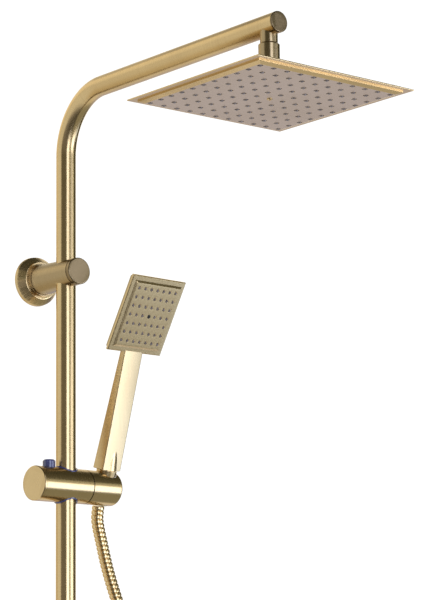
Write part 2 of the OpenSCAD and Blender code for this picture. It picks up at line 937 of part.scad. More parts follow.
riser_arm_tube();
arm_end_cap();
outlet_stub();
ball_joint_collar();
ball_liner();
head_swivel_nut();
head_inlet_boss();
head_retaining_ring();
head_filter_washer();
head_back_plate();
head_frame();
head_face_plate();
head_nozzle_mat();
head_centre_screw();
upper_wall_flange();
upper_wall_plate();
upper_bracket_post();
upper_bracket_cap();
riser_clamp_pad();
upper_grub_screw();
lower_wall_flange();
inlet_tail();
inlet_seal();
diverter_body();
riser_nut();
riser_seal();
diverter_cartridge();
diverter_gland_nut();
hose_outlet();
diverter_spindle();
diverter_knob();
knob_lever();
knob_grub_screw();
slider_bush();
slider_body();
slider_end_cap();
button_spring();
release_button();
swivel_shaft();
swivel_washer();
handset_holder();
holder_liner();
swivel_grub_screw();
hose_cone_nut();
hose_ferrule_upper();
hose_washer_upper();
handset_handle();
handset_back_shell();
handset_frame();
handset_face_plate();
handset_nozzle_mat();
handset_centre_screw();
flow_restrictor();
shower_hose();
hose_union_nut();
hose_ferrule_lower();
hose_washer_lower();
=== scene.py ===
import json
import math

import bmesh
import bpy
import numpy as np
from mathutils import Matrix, Vector

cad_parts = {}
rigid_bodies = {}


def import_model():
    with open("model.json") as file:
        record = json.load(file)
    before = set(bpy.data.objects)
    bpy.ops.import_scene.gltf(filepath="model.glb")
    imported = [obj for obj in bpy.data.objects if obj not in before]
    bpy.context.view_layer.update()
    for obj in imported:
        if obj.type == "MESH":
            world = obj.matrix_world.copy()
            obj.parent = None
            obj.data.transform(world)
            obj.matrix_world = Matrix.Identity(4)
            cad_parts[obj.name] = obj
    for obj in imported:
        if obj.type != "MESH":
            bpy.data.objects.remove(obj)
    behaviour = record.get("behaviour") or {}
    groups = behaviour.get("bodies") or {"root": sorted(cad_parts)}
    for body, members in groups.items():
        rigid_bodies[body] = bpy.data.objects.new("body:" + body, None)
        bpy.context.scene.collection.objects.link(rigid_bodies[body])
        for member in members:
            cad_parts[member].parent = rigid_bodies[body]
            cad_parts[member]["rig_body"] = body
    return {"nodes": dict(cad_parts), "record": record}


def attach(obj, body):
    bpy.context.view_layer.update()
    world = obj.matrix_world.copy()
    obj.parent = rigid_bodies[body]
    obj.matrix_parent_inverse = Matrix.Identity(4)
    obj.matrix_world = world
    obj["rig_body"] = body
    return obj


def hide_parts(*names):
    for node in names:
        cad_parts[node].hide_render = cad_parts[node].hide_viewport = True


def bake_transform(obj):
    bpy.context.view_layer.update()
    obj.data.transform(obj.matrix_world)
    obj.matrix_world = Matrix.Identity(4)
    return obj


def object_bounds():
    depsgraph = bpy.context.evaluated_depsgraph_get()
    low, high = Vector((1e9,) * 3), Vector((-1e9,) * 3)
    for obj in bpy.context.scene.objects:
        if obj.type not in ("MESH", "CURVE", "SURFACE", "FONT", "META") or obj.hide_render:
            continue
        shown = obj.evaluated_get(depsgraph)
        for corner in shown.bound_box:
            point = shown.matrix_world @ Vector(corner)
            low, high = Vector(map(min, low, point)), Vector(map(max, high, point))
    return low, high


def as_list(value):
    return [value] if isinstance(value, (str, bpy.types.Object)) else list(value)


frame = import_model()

# The looks of a rainfall shower column, built round its CAD frame.
# Lengths in this file are millimetres where they go through mm(), shift() or
# a profile, and metres elsewhere, as Blender has them.

cad_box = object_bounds()
MM = 0.001


def mm(*values):
    """A place in metres from millimetres."""
    return Vector(values) * MM


def shift(x, y, z):
    """A matrix that moves by millimetres."""
    return Matrix.Translation(mm(x, y, z))


def turn(degrees, axis):
    """A matrix that turns about an axis."""
    return Matrix.Rotation(math.radians(degrees), 4, axis)


# ---------------------------------------------------------------- driving sizes

RISER_Y = -60
TUBE_R = 11
TUBE_WALL = 1.5
RISER_BOTTOM = 13
BEND_R = 67
ARM_HEIGHT = 1150
ARM_REACH = 350
ARM_TIP = 364.5
BRACKET_HEIGHT = 949
SLIDER_HEIGHT = 713
SLIDER_YAW = 6
SLIDER_R = 19.2
BUSH_R = 13
HOLDER_X = 55
HANDSET_LEAN = 17.9
HANDSET_TURN = 5.9
HANDSET_REACH = 199
FACE_FORWARD = 13.5
FACE_LEAN = 10.1
HEAD_FACE_HEIGHT = 1073.6
HEAD_NOZZLES = 11
HEAD_PITCH = 17
HEAD_FACE_EDGE = 88.8
HAND_NOZZLES = 7
HAND_PITCH = 10.2
BUTTON_X = -24.5
HOSE_R = 7
HOSE_PITCH = 5

# Frames of the parts, all in the row frame
OUT_OF_WALL = turn(90, "X")
ALONG_X = turn(90, "Y")
RISER = shift(0, RISER_Y, 0)
HEAD = shift(0, RISER_Y - ARM_REACH, HEAD_FACE_HEIGHT)
SLIDER = shift(0, RISER_Y, SLIDER_HEIGHT) @ turn(SLIDER_YAW, "Z")
BUTTON = SLIDER @ shift(BUTTON_X, 0, 0)
BORE = SLIDER @ shift(HOLDER_X, 0, 0) @ turn(HANDSET_LEAN, "X")
HANDSET = BORE @ turn(HANDSET_TURN, "Z")
HAND_FACE = HANDSET @ shift(0, -FACE_FORWARD, HANDSET_REACH) @ turn(FACE_LEAN - 90, "X")
UPPER_BRACKET = shift(0, 0, BRACKET_HEIGHT) @ OUT_OF_WALL
ARM_END = shift(0, RISER_Y, ARM_HEIGHT) @ OUT_OF_WALL


# ---------------------------------------------------------------- camera

CAMERA_PLACE = (-1.4271, -2.0579, 0.4784)
CAMERA_TURN = 39.44
CAMERA_RISE = 8.14
CAMERA_ROLL = -0.52
CAMERA_LENS = 134.3
CAMERA_SHIFT = 0.133


def make_camera():
    """The camera at the reference view: left of the column and looking up."""
    data = bpy.data.cameras.new("camera")
    data.lens = CAMERA_LENS
    data.shift_y = CAMERA_SHIFT
    data.clip_start = 0.05
    data.clip_end = 50
    camera = bpy.data.objects.new("camera", data)
    camera.matrix_world = (
        Matrix.Translation(CAMERA_PLACE) @ turn(-CAMERA_TURN, "Z")
        @ turn(90 + CAMERA_RISE, "X") @ turn(CAMERA_ROLL, "Z")
    )
    bpy.context.scene.collection.objects.link(camera)
    bpy.context.scene.camera = camera


make_camera()


# ---------------------------------------------------------------- mesh helpers

def new_object(name, mesh):
    """Links a mesh as an object at the origin."""
    piece = bpy.data.objects.new(name, mesh)
    bpy.context.scene.collection.objects.link(piece)
    return piece


def mesh_of(name, corners, faces):
    """A mesh object from corners in metres and faces, with merged seams."""
    mesh = bpy.data.meshes.new(name)
    mesh.from_pydata([tuple(c) for c in corners], [], faces)
    form = bmesh.new()
    form.from_mesh(mesh)
    bmesh.ops.remove_doubles(form, verts=form.verts, dist=1e-6)
    bmesh.ops.recalc_face_normals(form, faces=form.faces)
    form.to_mesh(mesh)
    form.free()
    return new_object(name, mesh)


def soften(piece, sharp=40):
    """Smooth shading that keeps edges sharper than the angle, and flat faces flat."""
    form = bmesh.new()
    form.from_mesh(piece.data)
    for face in form.faces:
        face.smooth = True
    for edge in form.edges:
        edge.smooth = edge.calc_face_angle(math.pi) < math.radians(sharp)
    form.to_mesh(piece.data)
    form.free()
    weighted = piece.modifiers.new("weighted", "WEIGHTED_NORMAL")
    weighted.keep_sharp = True
    apply_modifiers(piece)
    return piece


def apply_modifiers(piece):
    """Turns the piece's modifiers into mesh."""
    bpy.context.view_layer.update()
    graph = bpy.context.evaluated_depsgraph_get()
    done = bpy.data.meshes.new_from_object(
        piece.evaluated_get(graph), preserve_all_data_layers=True, depsgraph=graph
    )
    piece.modifiers.clear()
    piece.data = done


def loft(rings, closed_ends=True, looped=False):
    """Corners and faces of a skin through rings with equal numbers of corners."""
    count = len(rings[0])
    corners = [c for ring in rings for c in ring]
    last = len(rings) if looped else len(rings) - 1
    faces = []
    for i in range(last):
        low, high = i * count, (i + 1) % len(rings) * count
        for k in range(count):
            after = (k + 1) % count
            faces.append((low + k, low + after, high + after, high + k))
    if closed_ends and not looped:
        faces.append(tuple(reversed(range(count))))
        faces.append(tuple(range((len(rings) - 1) * count, len(rings) * count)))
    return corners, faces


def circle(radius, height, sides):
    """A ring of corners round Z, in millimetres."""
    return [
        (radius * math.cos(a), radius * math.sin(a), height)
        for a in (2 * math.pi * k / sides for k in range(sides))
    ]


def turned(name, frame_matrix, outline, sides=64):
    """A turned solid from a closed outline of (radius, height) in millimetres."""
    rings = [circle(r, z, sides) for r, z in outline]
    corners, faces = loft(rings, looped=True)
    return mesh_of(name, [frame_matrix @ mm(*c) for c in corners], faces)


def rounded(outline, radius, steps=4):
    """The closed outline with each corner rounded, where its sides have room."""
    smooth = []
    count = len(outline)
    for i in range(count):
        here = Vector(outline[i])
        back = Vector(outline[i - 1]) - here
        ahead = Vector(outline[(i + 1) % count]) - here
        room = min(radius, 0.45 * back.length, 0.45 * ahead.length)
        start, end = here + back.normalized() * room, here + ahead.normalized() * room
        for k in range(steps + 1):
            t = k / steps
            smooth.append(start * (1 - t) ** 2 + here * 2 * t * (1 - t) + end * t * t)
    return [tuple(p) for p in smooth]


def joined(name, pieces):
    """One object from several, at the origin."""
    form = bmesh.new()
    for piece in pieces:
        form.from_mesh(piece.data)
        bpy.data.objects.remove(piece)
    mesh = bpy.data.meshes.new(name)
    form.to_mesh(mesh)
    form.free()
    return new_object(name, mesh)


# ---------------------------------------------------------------- brushing

# Each metal piece has a UV map named "brush", in metres: U runs across the
# brush lines and V along them, so one material brushes every piece its own way.

def brush(piece, place):
    """Gives each face corner the brush coordinates that place(point, middle) returns."""
    mesh = piece.data
    layer = mesh.uv_layers.get("brush") or mesh.uv_layers.new(name="brush")
    for face in mesh.polygons:
        middle = face.center
        for loop in face.loop_indices:
            point = mesh.vertices[mesh.loops[loop].vertex_index].co
            layer.data[loop].uv = place(point, middle)
    return piece


def brush_round(piece, frame_matrix):
    """Brush lines that go round the frame's Z axis, on walls and end faces alike."""
    back = frame_matrix.inverted()

    def place(point, middle):
        p, m = back @ point, back @ middle
        radius = math.hypot(p.x, p.y)
        base = math.atan2(m.y, m.x)
        angle = math.atan2(p.y, p.x) if radius > 1e-6 else base
        angle = base + (angle - base + math.pi) % (2 * math.pi) - math.pi
        return p.z + radius, angle * 0.01

    return brush(piece, place)


def brush_flat(piece, frame_matrix, across=(0, 1, 0), along=(1, 0, 0)):
    """Straight brush lines along one direction of the frame."""
    back = frame_matrix.inverted()
    u, v = Vector(across), Vector(along)

    def place(point, middle):
        p = back @ point
        return p.dot(u) + 0.37 * p.z, p.dot(v) + 0.29 * p.z

    return brush(piece, place)


# ---------------------------------------------------------------- materials

class Shader:
    """A material's node tree with short ways to add and link nodes."""

    def __init__(self, name):
        self.material = bpy.data.materials.new(name)
        self.material.use_nodes = True
        self.tree = self.material.node_tree
        self.surface = self.tree.nodes["Principled BSDF"]

    def add(self, kind, **settings):
        node = self.tree.nodes.new(kind)
        for key, value in settings.items():
            setattr(node, key, value)
        return node

    def link(self, source, target):
        self.tree.links.new(source, target)

    def value(self, socket, number):
        self.surface.inputs[socket].default_value = number

    def brush_places(self, across, along):
        """Brush coordinates, scaled to lines per metre."""
        places = self.add("ShaderNodeUVMap", uv_map="brush")
        scaled = self.add("ShaderNodeMapping")
        scaled.inputs["Scale"].default_value = (across, along, 1)
        self.link(places.outputs["UV"], scaled.inputs["Vector"])
        return scaled.outputs["Vector"]

    def object_places(self, scale=(1, 1, 1)):
        places = self.add("ShaderNodeTexCoord")
        scaled = self.add("ShaderNodeMapping")
        scaled.inputs["Scale"].default_value = scale
        self.link(places.outputs["Object"], scaled.inputs["Vector"])
        return scaled.outputs["Vector"]

    def noise(self, places, scale=1.0, detail=3.0, roughness=0.5):
        node = self.add("ShaderNodeTexNoise")
        node.inputs["Scale"].default_value = scale
        node.inputs["Detail"].default_value = detail
        node.inputs["Roughness"].default_value = roughness
        self.link(places, node.inputs["Vector"])
        return node.outputs["Fac"]

    def spread(self, source, low, high, start=0.3, end=0.7):
        """Maps a pattern's start to end onto low to high."""
        node = self.add("ShaderNodeMapRange")
        for key, number in zip(
            ("From Min", "From Max", "To Min", "To Max"), (start, end, low, high)
        ):
            node.inputs[key].default_value = number
        self.link(source, node.inputs["Value"])
        return node.outputs["Result"]

    def mix_colours(self, factor, first, second, blend="MIX"):
        node = self.add("ShaderNodeMix", data_type="RGBA", blend_type=blend)
        for socket, given in ((6, first), (7, second)):
            if isinstance(given, tuple):
                node.inputs[socket].default_value = (*given, 1)
            else:
                self.link(given, node.inputs[socket])
        if isinstance(factor, float):
            node.inputs[0].default_value = factor
        else:
            self.link(factor, node.inputs[0])
        return node.outputs[2]

    def add_up(self, first, second, operation="ADD"):
        node = self.add("ShaderNodeMath", operation=operation)
        self.link(first, node.inputs[0])
        if isinstance(second, float):
            node.inputs[1].default_value = second
        else:
            self.link(second, node.inputs[1])
        return node.outputs[0]

    def bump(self, height, strength, distance):
        node = self.add("ShaderNodeBump")
        node.inputs["Strength"].default_value = strength
        node.inputs["Distance"].default_value = distance
        self.link(height, node.inputs["Height"])
        self.link(node.outputs["Normal"], self.surface.inputs["Normal"])

    def edge_wear(self):
        """Bright where the surface is convex, as rubbed edges are."""
        geometry = self.add("ShaderNodeNewGeometry")
        return self.spread(geometry.outputs["Pointiness"], 0.0, 0.6, 0.56, 0.74)


def brushed_metal(name, base, shade, worn, roughness, anisotropic, grain=1.0):
    """Satin metal with fine brush lines, faint blotches and rubbed edges."""
    s = Shader(name)
    s.value("Metallic", 1.0)
    s.value("Anisotropic", anisotropic)
    tangent = s.add("ShaderNodeTangent", direction_type="UV_MAP", uv_map="brush")
    s.link(tangent.outputs["Tangent"], s.surface.inputs["Tangent"])
    fine = s.noise(s.brush_places(5200, 90), detail=2.0)
    coarse = s.noise(s.brush_places(900, 14), detail=4.0, roughness=0.6)
    blotch = s.noise(s.object_places(), scale=14.0, detail=3.0)
    lines = s.add_up(s.spread(fine, 0.0, 0.5), s.spread(coarse, 0.0, 0.5))
    tone = s.mix_colours(s.spread(coarse, 0.0, 0.35), base, shade)
    tone = s.mix_colours(s.spread(blotch, 0.0, 0.30, 0.45, 0.75), tone, shade)
    tone = s.mix_colours(s.edge_wear(), tone, worn)
    s.link(tone, s.surface.inputs["Base Color"])
    rough = s.add_up(
        s.spread(lines, roughness - 0.015, roughness + 0.025, 0.0, 1.0),
        s.spread(blotch, -0.015, 0.03, 0.35, 0.7),
    )
    s.link(rough, s.surface.inputs["Roughness"])
    s.bump(fine, 0.025 * grain, 0.00001)
    return s.material


def moulded(name, base, shade, roughness, coat=0.0, texture=0.0):
    """Moulded plastic or rubber with a faint orange peel and soft blotches."""
    s = Shader(name)
    blotch = s.noise(s.object_places(), scale=60.0, detail=3.0)
    peel = s.noise(s.object_places(), scale=1800.0, detail=2.0)
    tone = s.mix_colours(s.spread(blotch, 0.0, 1.0), base, shade)
    s.link(tone, s.surface.inputs["Base Color"])
    s.link(s.spread(blotch, roughness - 0.04, roughness + 0.06), s.surface.inputs["Roughness"])
    s.value("Coat Weight", coat)
    s.value("Coat Roughness", 0.08)
    s.bump(peel, 0.15 + texture, 0.00005)
    return s.material


def plain_steel():
    """Machined steel of the hidden fixings."""
    s = Shader("machined_steel")
    s.value("Metallic", 1.0)
    lines = s.noise(s.object_places((300, 300, 4000)), detail=3.0)
    tone = s.mix_colours(s.spread(lines, 0.0, 1.0), (0.60, 0.59, 0.57), (0.45, 0.44, 0.43))
    s.link(tone, s.surface.inputs["Base Color"])
    s.link(s.spread(lines, 0.24, 0.36), s.surface.inputs["Roughness"])
    s.bump(lines, 0.12, 0.00004)
    return s.material


GOLD = brushed_metal(
    "brushed_gold", (0.66, 0.48, 0.24), (0.52, 0.37, 0.18), (0.80, 0.63, 0.36), 0.25, 0.75)
# A greyer, bluer gold for the head's spray face: a painted reflection tint of the bluish grey
# studio light it faces, with a rougher satin.
PLATE = brushed_metal(
    "satin_face_painted_tint", (0.62, 0.50, 0.36), (0.53, 0.42, 0.31), (0.80, 0.68, 0.45), 0.34, 0.30)
# A much darker copy of the brushed gold, for the dark_gold slot and the two end caps in LOOKS:
# painted shade that stands in for the dark studio the caps reflect.
DEEP_SHADED_GOLD = brushed_metal(
    "gold_painted_deep_shade", (0.29, 0.21, 0.11), (0.21, 0.15, 0.08), (0.62, 0.48, 0.26), 0.30, 0.60)
# A darker copy of the brushed gold: painted shade for the bracket post, the head's stub,
# collar, nut and boss, and the handset's back shell, which nearby parts and the studio's dark
# gaps darken.
SHADED_GOLD = brushed_metal(
    "gold_painted_shade", (0.42, 0.31, 0.165), (0.32, 0.23, 0.12), (0.74, 0.58, 0.33), 0.27, 0.70)
HOSE_METAL = brushed_metal(
    "hose_metal", (0.72, 0.53, 0.27), (0.50, 0.35, 0.16), (0.86, 0.70, 0.42), 0.20, 0.0, 0.5)
NOZZLE = moulded("nozzle_rubber", (0.22, 0.18, 0.17), (0.15, 0.12, 0.12), 0.34, 0.35)
SEAL = moulded("seal_rubber", (0.020, 0.019, 0.018), (0.012, 0.011, 0.011), 0.55, 0.0, 0.15)
BLUE = moulded("blue_plastic", (0.050, 0.055, 0.17), (0.030, 0.034, 0.115), 0.16, 0.8)
WHITE = moulded("white_plastic", (0.78, 0.78, 0.75), (0.70, 0.70, 0.67), 0.38)
STEEL = plain_steel()

MATERIAL_OF_SLOT = {
    "brushed_gold": GOLD, "dark_gold": DEEP_SHADED_GOLD, "hose_gold": HOSE_METAL,
    "nozzle_rubber": NOZZLE, "seal_rubber": SEAL, "blue_plastic": BLUE,
    "white_plastic": WHITE, "steel": STEEL,
}
# Nodes whose gold differs from their slot's: painted shade on the end caps, the bracket post,
# the head's joint parts and the handset's back shell, a painted reflection tint on the head's
# face, and plain brushed gold on the slider's end cap
LOOKS = {
    "arm_end_cap": DEEP_SHADED_GOLD, "upper_bracket_cap": DEEP_SHADED_GOLD, "slider_end_cap": GOLD,
    "upper_bracket_post": SHADED_GOLD, "outlet_stub": SHADED_GOLD,
    "ball_joint_collar": SHADED_GOLD, "head_swivel_nut": SHADED_GOLD,
    "head_inlet_boss": SHADED_GOLD, "handset_back_shell": SHADED_GOLD,
    "head_face_plate": PLATE,
}
SLOT_OF_NODE = {s["node"]: s["material_slot"] for s in frame["record"]["subparts"]}


def finish_piece(piece, node):
    """Rides on the node's body, stands for the node and takes its slot's material, or its
    painted shade or tint from LOOKS.
    """
    slot = SLOT_OF_NODE[node]
    piece.data.materials.clear()
    piece.data.materials.append(LOOKS.get(node) or MATERIAL_OF_SLOT[slot])
    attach(piece, frame["nodes"][node]["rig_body"])
    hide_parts(node)
    return piece


def refined(node, width, steps=2, sharp=32):
    """A copy of a CAD node, cleaned of its facets' seams, with its edges rounded."""
    form = bmesh.new()
    form.from_mesh(frame["nodes"][node].data)
    bmesh.ops.remove_doubles(form, verts=form.verts, dist=2e-6)
    bmesh.ops.dissolve_limit(
        form, angle_limit=math.radians(0.6), verts=form.verts, edges=form.edges)
    edges = [
        e for e in form.edges
        if e.is_manifold and e.calc_face_angle(0) > math.radians(sharp)
    ]
    bmesh.ops.bevel(
        form, geom=edges, offset=width * MM, segments=steps, profile=0.6,
        affect="EDGES", clamp_overlap=True)
    mesh = bpy.data.meshes.new(node + "_fine")
    form.to_mesh(mesh)
    form.free()
    return new_object(node + "_fine", mesh)


# ---------------------------------------------------------------- hose

HOSE_ROUTE = [
    (53, -48, 694), (54, -45, 677), (60, -45, 652), (67, -47, 622),
    (76, -52, 588), (90, -60, 540), (108, -68, 480), (127, -76, 412),
    (146, -83, 338), (163, -89, 260), (176, -93, 180), (185, -96, 96),
    (189, -97, 10), (190, -97, -76), (189, -95, -160), (184, -92, -236),
    (168, -87, -298), (136, -81, -342), (93, -75, -358), (50, -70, -343),
    (19, -65, -303), (4, -62, -250), (0, -60, -195), (0, -60, -145),
    (0, -60, -95), (0, -60, -58),
]


def smooth_route(points, steps=24):
    """Points in metres on the smooth curve through the route's points."""
    p = [mm(*c) for c in points]
    p = [2 * p[0] - p[1], *p, 2 * p[-1] - p[-2]]
    curve = []
    for i in range(1, len(p) - 2):
        for k in range(steps):
            t = k / steps
            curve.append(0.5 * (
                2 * p[i] + (p[i + 1] - p[i - 1]) * t
                + (2 * p[i - 1] - 5 * p[i] + 4 * p[i + 1] - p[i + 2]) * t * t
                + (3 * p[i] - p[i - 1] - 3 * p[i + 1] + p[i + 2]) * t ** 3))
    curve.append(p[-2])
    return curve


class Route:
    """A curve that is read by its own length."""

    def __init__(self, points):
        self.points = points
        self.lengths = [0.0]
        for a, b in zip(points, points[1:]):
            self.lengths.append(self.lengths[-1] + (b - a).length)
        self.length = self.lengths[-1]

    def at(self, length):
        length = min(max(length, 0.0), self.length)
        i = int(np.searchsorted(self.lengths, length)) - 1
        i = min(max(i, 0), len(self.points) - 2)
        span = self.lengths[i + 1] - self.lengths[i]
        return self.points[i].lerp(self.points[i + 1], (length - self.lengths[i]) / span)

    def along(self, length):
        return (self.at(length + 0.0015) - self.at(length - 0.0015)).normalized()


# One rib of the hose: share of the pitch, and how far the wall sinks there
RIB = [(0.0, 0.85), (0.05, 0.80), (0.10, 0.40), (0.17, 0.12), (0.30, 0.02),
       (0.50, 0.0), (0.70, 0.02), (0.83, 0.12), (0.90, 0.40), (0.95, 0.80)]


def hose_section(name, route, start, end, sides=28):
    """A ribbed length of the hose between two lengths along its route."""
    pitch = HOSE_PITCH * MM
    stations = [
        ((rib + share) * pitch, sink)
        for rib in range(round(start / pitch), round(end / pitch))
        for share, sink in RIB
    ]
    stations.append((round(end / pitch) * pitch, RIB[0][1]))
    rings = []
    for length, sink in stations:
        centre, ahead = route.at(length), route.along(length)
        side = Vector((0, 1, 0)).cross(ahead).normalized()
        up = ahead.cross(side)
        radius = (HOSE_R - sink) * MM
        rings.append([
            centre + radius * (math.cos(a) * side + math.sin(a) * up)
            for a in (2 * math.pi * k / sides for k in range(sides))
        ])
    corners, faces = loft(rings)
    piece = mesh_of(name, corners, faces)
    layer = piece.data.uv_layers.new(name="brush")
    for loop in piece.data.loops:
        k = loop.vertex_index
        layer.data[loop.index].uv = (k // sides * pitch / len(RIB), k % sides * 0.0016)
    return soften(piece, 60)


def make_hose():
    """The hose in five lengths; the last rides on the root body."""
    route = Route(smooth_route(HOSE_ROUTE))
    pitch = HOSE_PITCH * MM
    whole = round(route.length / pitch) * pitch
    # In metres. A length is at least six diameters, 84 mm
    cuts = [0, 0.09, 0.25, 0.39, 1.16, whole]
    bodies = ["hose_cone", "holder", "slider", "carriage", "root"]
    last = len(bodies) - 1
    pieces = []
    for i in range(len(bodies)):
        piece = hose_section(f"hose_length_{i + 1}", route, cuts[i], cuts[i + 1])
        piece.data.materials.append(HOSE_METAL)
        if i < last:
            route.at(cuts[i] + 0.01)
            route.at(cuts[i + 1])
            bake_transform(piece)
        else:
            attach(piece, bodies[last])
        pieces.append(piece)
    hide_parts("shower_hose")
    return route, cuts, pieces


HOSE, HOSE_CUTS, HOSE_PIECES = make_hose()


def declare_hose(upper_fittings, lower_fittings):
    """Samples each length's path along the route and adds up its length."""
    fittings = {0: upper_fittings, len(HOSE_PIECES) - 1: lower_fittings}
    for i, piece in enumerate(HOSE_PIECES):
        start, end = HOSE_CUTS[i], HOSE_CUTS[i + 1]
        steps = max(12, round((end - start) / 0.01))
        path = [HOSE.at(start + (end - start) * k / steps) for k in range(steps + 1)]
        length = sum((b - a).length for a, b in zip(path, path[1:]))
        tuple(HOSE.at(start))
        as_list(fittings.get(i, []))


# ---------------------------------------------------------------- riser and arm

def make_riser():
    """The bent tube, swept along its path, with its bore."""
    bend_start = ARM_HEIGHT - BEND_R
    bend_steps = 28
    path = []
    for k in range(24):
        path.append((0.0, RISER_BOTTOM + (bend_start - RISER_BOTTOM) * k / 24, 0.0))
    for k in range(bend_steps + 1):
        a = math.pi / 2 * k / bend_steps
        path.append((BEND_R * (1 - math.cos(a)), bend_start + BEND_R * math.sin(a), a))
    for k in range(1, 9):
        path.append((BEND_R + (ARM_TIP - BEND_R) * k / 8, ARM_HEIGHT, math.pi / 2))
    sides = 96
    rings = []
    lengths = []
    for radius, route in ((TUBE_R, path), (TUBE_R - TUBE_WALL, path[::-1])):
        for forward, height, lean in route:
            rings.append([
                mm(radius * math.cos(a),
                   RISER_Y - forward + radius * math.sin(a) * math.cos(lean),
                   height + radius * math.sin(a) * math.sin(lean))
                for a in (2 * math.pi * k / sides for k in range(sides))
            ])
            lengths.append((forward + height) * MM)
    corners, faces = loft(rings, looped=True)
    piece = mesh_of("riser_arm_tube_fine", corners, faces)
    layer = piece.data.uv_layers.new(name="brush")
    for face in piece.data.polygons:
        around = [piece.data.loops[i].vertex_index % sides for i in face.loop_indices]
        seam = max(around) - min(around) > sides / 2
        for loop, k in zip(face.loop_indices, around):
            index = piece.data.loops[loop].vertex_index
            turns = (k + sides if seam and k < sides / 2 else k) / sides
            layer.data[loop].uv = (lengths[index // sides], turns * 0.07)
    return finish_piece(soften(piece), "riser_arm_tube")


# ---------------------------------------------------------------- spray faces

def square_ring(half, height, per_side):
    """Corners round a square of half side, from one corner, anticlockwise."""
    ring = []
    for k in range(per_side):
        ring.append((-half + 2 * half * k / per_side, -half, height))
    for k in range(per_side):
        ring.append((half, -half + 2 * half * k / per_side, height))
    for k in range(per_side):
        ring.append((half - 2 * half * k / per_side, half, height))
    for k in range(per_side):
        ring.append((-half, half - 2 * half * k / per_side, height))
    return ring


def spray_plate(name, frame_matrix, count, pitch, hole_r, middle_r, outline):
    """A square plate with a countersunk hole for each nozzle.

    outline holds (half side, height) from the front face's edge, round the
    rim, to the edge of the recess at the back."""
    (front_half, front), (back_half, back_height) = outline[0], outline[-1]
    cell_sides = 8
    last = (count - 1) // 2
    corners, faces = [], []

    def fitted(x, edge):
        """The grid's outermost half cells reach just to the edge."""
        beyond = abs(x) - last * pitch
        if beyond <= 0:
            return x
        return math.copysign(last * pitch + beyond * (edge - last * pitch) / (pitch / 2), x)

    def fitted_ring(ring, edge):
        return [(fitted(x, edge), fitted(y, edge), z) for x, y, z in ring]

    def add_ring(ring):
        start = len(corners)
        corners.extend(ring)
        return list(range(start, start + len(ring)))

    def bridge(first, second):
        size = len(first)
        for k in range(size):
            j = (k + 1) % size
            faces.append((first[k], first[j], second[j], second[k]))

    for i in range(-last, last + 1):
        for j in range(-last, last + 1):
            hole = middle_r if i == 0 and j == 0 else hole_r
            depths = [(0.30, 0.0), (0.12, 0.06), (0.0, 0.26)]
            square = square_ring(pitch / 2, front, cell_sides)
            cell = [(i * pitch + x, j * pitch + y, front) for x, y, _ in square]
            rings = [fitted_ring(cell, front_half)]
            for extra, depth in depths + [(0.0, back_height - front)]:
                ring = []
                for x, y, _ in square:
                    a = math.atan2(y, x)
                    ring.append((i * pitch + (hole + extra) * math.cos(a),
                                 j * pitch + (hole + extra) * math.sin(a),
                                 front + depth))
                rings.append(ring)
            cell = [(x, y, back_height) for x, y, _ in cell]
            rings.append(fitted_ring(cell, back_half))
            placed = [add_ring(ring) for ring in rings]
            for a, b in zip(placed, placed[1:]):
                bridge(a, b)
    per_side = cell_sides * count
    placed = [
        add_ring(fitted_ring(square_ring(pitch * count / 2, z, per_side), w))
        for w, z in outline
    ]
    for a, b in zip(placed, placed[1:]):
        bridge(a, b)
    return mesh_of(name, [frame_matrix @ mm(*c) for c in corners], faces)


def nozzle_field(name, frame_matrix, mat_half, mat, count, pitch, base_r, tip_r, out):
    """The rubber mat with its soft tapering nozzles, each with a jet hole."""
    sides = 20
    low, high = mat
    corners, faces = [], []
    outline = [
        (0.0, high), (base_r, high), (base_r, low), (base_r - 0.08, 0.3),
        (tip_r + 0.12, -out + 0.30), (tip_r - 0.02, -out + 0.08),
        (tip_r - 0.18, -out), (tip_r - 0.42, -out), (0.42, -out + 0.10),
        (0.36, -out + 0.35), (0.34, -out + 1.0), (0.0, -out + 1.0),
    ]
    last = (count - 1) // 2
    for i in range(-last, last + 1):
        for j in range(-last, last + 1):
            if i == 0 and j == 0:
                continue
            start = len(corners)
            rings = [circle(max(r, 0.001), z, sides) for r, z in outline]
            more, skin = loft(rings)
            corners += [(x + i * pitch, y + j * pitch, z) for x, y, z in more]
            faces += [tuple(c + start for c in face) for face in skin]
    start = len(corners)
    more, skin = loft([square_ring(mat_half, z, 1) for z in (low, high)])
    corners += more
    faces += [tuple(c + start for c in face) for face in skin]
    return mesh_of(name, [frame_matrix @ mm(*c) for c in corners], faces)


# ---------------------------------------------------------------- handle

HANDLE_START = 22
HANDLE_END = 164.8
HANDLE_W = 30
HANDLE_EDGE = 1.6
FRONT_CROWN = 0.75


